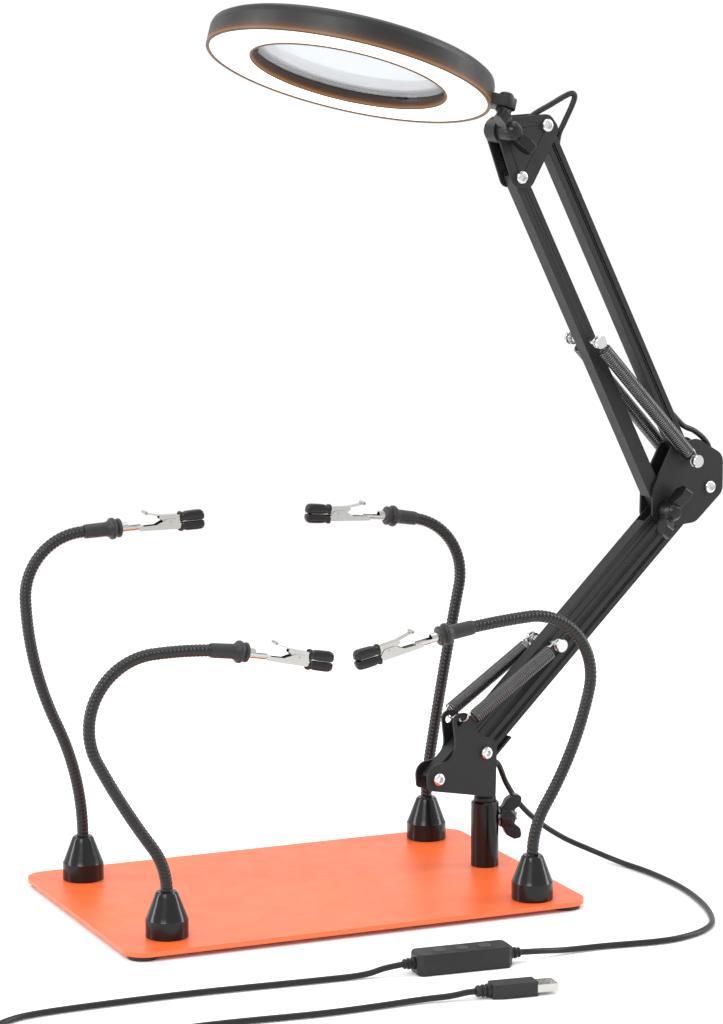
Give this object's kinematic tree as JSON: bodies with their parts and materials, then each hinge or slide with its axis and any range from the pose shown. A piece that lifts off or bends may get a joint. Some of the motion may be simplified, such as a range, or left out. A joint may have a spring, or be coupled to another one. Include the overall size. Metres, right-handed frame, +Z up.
{
  "type": "helping hands clamp",
  "caption": "Helping-hands work station: steel plate with gooseneck clip arms on magnetic bases and a spring-balanced arm carrying a ring-lit magnifier lamp.",
  "frame": {"origin": "middle of the plate, on the table under its rubber feet", "axes": "+X along the plate's long side towards the lamp arm's socket, +Y to the back, +Z up"},
  "size_m": [0.5789, 0.3939, 0.5495],
  "materials": {
    "powder_coat": "satin powder coat",
    "rubber": "matt",
    "black_steel": "satin black paint",
    "black_gloss": "semi-gloss",
    "black_plastic": "fine texture",
    "zinc": "bright plated",
    "spring_steel": "dark oiled wire",
    "nickel": "nickel plated",
    "hose": "black oxide, ribbed",
    "diffuser": "frosted, lit",
    "lens": "polished",
    "cable": "smooth",
    "button": "soft"
  },
  "bodies": {
    "base": {"base_plate": "powder_coat", "rubber_feet": "rubber", "arm_socket": "black_gloss", "usb_cable": "cable", "controller_case": "black_plastic", "controller_buttons": "button", "usb_moulding": "black_plastic", "usb_shell": "nickel"},
    "thumb_screw": {"thumb_knob": "black_plastic", "thumb_stud": "zinc"},
    "arm_base": {"base_bracket": "black_steel", "base_stem": "black_steel", "base_bolts": "zinc", "lower_springs": "spring_steel"},
    "lower_arm": {"lower_main_bar": "black_steel", "lower_spring_post": "zinc"},
    "lower_link": {"lower_link_bar": "black_steel"},
    "elbow": {"elbow_plates": "black_steel", "elbow_pins": "zinc"},
    "elbow_grip": {"elbow_knob": "black_plastic"},
    "upper_arm": {"upper_main_bar": "black_steel", "upper_spring_post": "zinc", "upper_springs": "spring_steel"},
    "upper_link": {"upper_link_bar": "black_steel", "lamp_cable": "cable"},
    "head": {"head_plates": "black_steel", "head_bolts": "zinc"},
    "head_grip": {"head_knob": "black_plastic"},
    "lamp_hinge": {"lamp_neck": "black_steel"},
    "lamp": {"lamp_housing": "black_plastic", "lamp_diffuser": "diffuser", "lamp_lens": "lens"},
    "front_left_arm": {"fl_base": "black_gloss", "fl_neck": "hose", "fl_sleeve": "rubber", "fl_clip": "nickel", "fl_boot": "rubber"},
    "front_left_jaw": {"fl_lever": "nickel", "fl_lever_boot": "rubber"},
    "rear_left_arm": {"rl_base": "black_gloss", "rl_neck": "hose", "rl_sleeve": "rubber", "rl_clip": "nickel", "rl_boot": "rubber"},
    "rear_left_jaw": {"rl_lever": "nickel", "rl_lever_boot": "rubber"},
    "rear_right_arm": {"rr_base": "black_gloss", "rr_neck": "hose", "rr_sleeve": "rubber", "rr_clip": "nickel", "rr_boot": "rubber"},
    "rear_right_jaw": {"rr_lever": "nickel", "rr_lever_boot": "rubber"},
    "front_right_arm": {"fr_base": "black_gloss", "fr_neck": "hose", "fr_sleeve": "rubber", "fr_clip": "nickel", "fr_boot": "rubber"},
    "front_right_jaw": {"fr_lever": "nickel", "fr_lever_boot": "rubber"}
  },
  "joints": [
    {"name": "thumb_screw_turn", "type": "hinge", "parent": "base", "child": "thumb_screw", "pos_m": [0.14205, -0.00043, 0.037], "axis": [0.9781, -0.2079, 0], "continuous": true},
    {"name": "arm_swivel", "type": "hinge", "parent": "base", "child": "arm_base", "pos_m": [0.1264, 0.0029, 0.048], "axis": [0, 0, 1], "range_deg": [-30, 30], "deforming": ["usb_cable"]},
    {"name": "lower_tilt", "type": "hinge", "parent": "arm_base", "child": "lower_arm", "pos_m": [0.08602, -0.00466, 0.06836], "axis": [0.184, -0.9829, 0], "range_deg": [-3, 40], "deforming": ["lower_springs"]},
    {"name": "lower_link_tilt", "type": "hinge", "parent": "arm_base", "child": "lower_link", "pos_m": [0.12208, 0.00209, 0.0807], "axis": [0.184, -0.9829, 0], "range_deg": [-3, 40]},
    {"name": "elbow_level", "type": "hinge", "parent": "lower_arm", "child": "elbow", "pos_m": [0.2617, 0.02822, 0.22263], "axis": [0.184, -0.9829, 0], "range_deg": [-40, 3]},
    {"name": "elbow_knob_turn", "type": "hinge", "parent": "elbow", "child": "elbow_grip", "pos_m": [0.26391, 0.01642, 0.22263], "axis": [0.184, -0.9829, 0], "continuous": true},
    {"name": "upper_tilt", "type": "hinge", "parent": "elbow", "child": "upper_arm", "pos_m": [0.2617, 0.02822, 0.22263], "axis": [0.184, -0.9829, 0], "range_deg": [-22, 22], "deforming": ["upper_springs"]},
    {"name": "upper_link_tilt", "type": "hinge", "parent": "elbow", "child": "upper_link", "pos_m": [0.2807, 0.03178, 0.25406], "axis": [0.184, -0.9829, 0], "range_deg": [-22, 22], "deforming": ["lamp_cable"]},
    {"name": "head_level", "type": "hinge", "parent": "upper_arm", "child": "head", "pos_m": [0.14627, 0.00662, 0.44163], "axis": [0.184, -0.9829, 0], "range_deg": [-22, 22]},
    {"name": "head_knob_turn", "type": "hinge", "parent": "head", "child": "head_grip", "pos_m": [0.13637, -0.00744, 0.4707], "axis": [0.184, -0.9829, 0], "continuous": true},
    {"name": "lamp_tilt", "type": "hinge", "parent": "head", "child": "lamp_hinge", "pos_m": [0.13417, 0.00435, 0.4707], "axis": [0.184, -0.9829, 0], "range_deg": [-10, 60]},
    {"name": "lamp_swivel", "type": "hinge", "parent": "lamp_hinge", "child": "lamp", "pos_m": [0.13847, 0.00675, 0.48381], "axis": [0.3072, 0.1709, 0.9362], "range_deg": [-30, 30]},
    {"name": "front_left_turn", "type": "hinge", "parent": "base", "child": "front_left_arm", "pos_m": [-0.1164, -0.0711, 0.006], "axis": [0, 0, 1], "range_deg": [-30, 30]},
    {"name": "front_left_jaw_open", "type": "hinge", "parent": "front_left_arm", "child": "front_left_jaw", "pos_m": [-0.03194, -0.0711, 0.16697], "axis": [0, -1, 0], "range_deg": [0, 16], "stiffness_Nm_per_rad": 0.004, "springref_deg": -5.73},
    {"name": "rear_left_turn", "type": "hinge", "parent": "base", "child": "rear_left_arm", "pos_m": [-0.1185, 0.0729, 0.006], "axis": [0, 0, 1], "range_deg": [-30, 30]},
    {"name": "rear_left_jaw_open", "type": "hinge", "parent": "rear_left_arm", "child": "rear_left_jaw", "pos_m": [-0.05851, 0.0729, 0.22875], "axis": [0, -1, 0], "range_deg": [0, 16], "stiffness_Nm_per_rad": 0.004, "springref_deg": -5.73},
    {"name": "rear_right_turn", "type": "hinge", "parent": "base", "child": "rear_right_arm", "pos_m": [0.1213, 0.0811, 0.006], "axis": [0, 0, 1], "range_deg": [-30, 30]},
    {"name": "rear_right_jaw_open", "type": "hinge", "parent": "rear_right_arm", "child": "rear_right_jaw", "pos_m": [0.05858, 0.0811, 0.22505], "axis": [0, 1, 0], "range_deg": [0, 16], "stiffness_Nm_per_rad": 0.004, "springref_deg": -5.73},
    {"name": "front_right_turn", "type": "hinge", "parent": "base", "child": "front_right_arm", "pos_m": [0.1186, -0.0813, 0.006], "axis": [0, 0, 1], "range_deg": [-30, 30]},
    {"name": "front_right_jaw_open", "type": "hinge", "parent": "front_right_arm", "child": "front_right_jaw", "pos_m": [0.02159, -0.0813, 0.16881], "axis": [0, 1, 0], "range_deg": [0, 16], "stiffness_Nm_per_rad": 0.004, "springref_deg": -5.73}
  ],
  "couplings": [
    {"joint": "lower_link_tilt", "follows": "lower_tilt", "ratio": 1},
    {"joint": "elbow_level", "follows": "lower_tilt", "ratio": -1},
    {"joint": "upper_link_tilt", "follows": "upper_tilt", "ratio": 1},
    {"joint": "head_level", "follows": "upper_tilt", "ratio": -1}
  ]
}
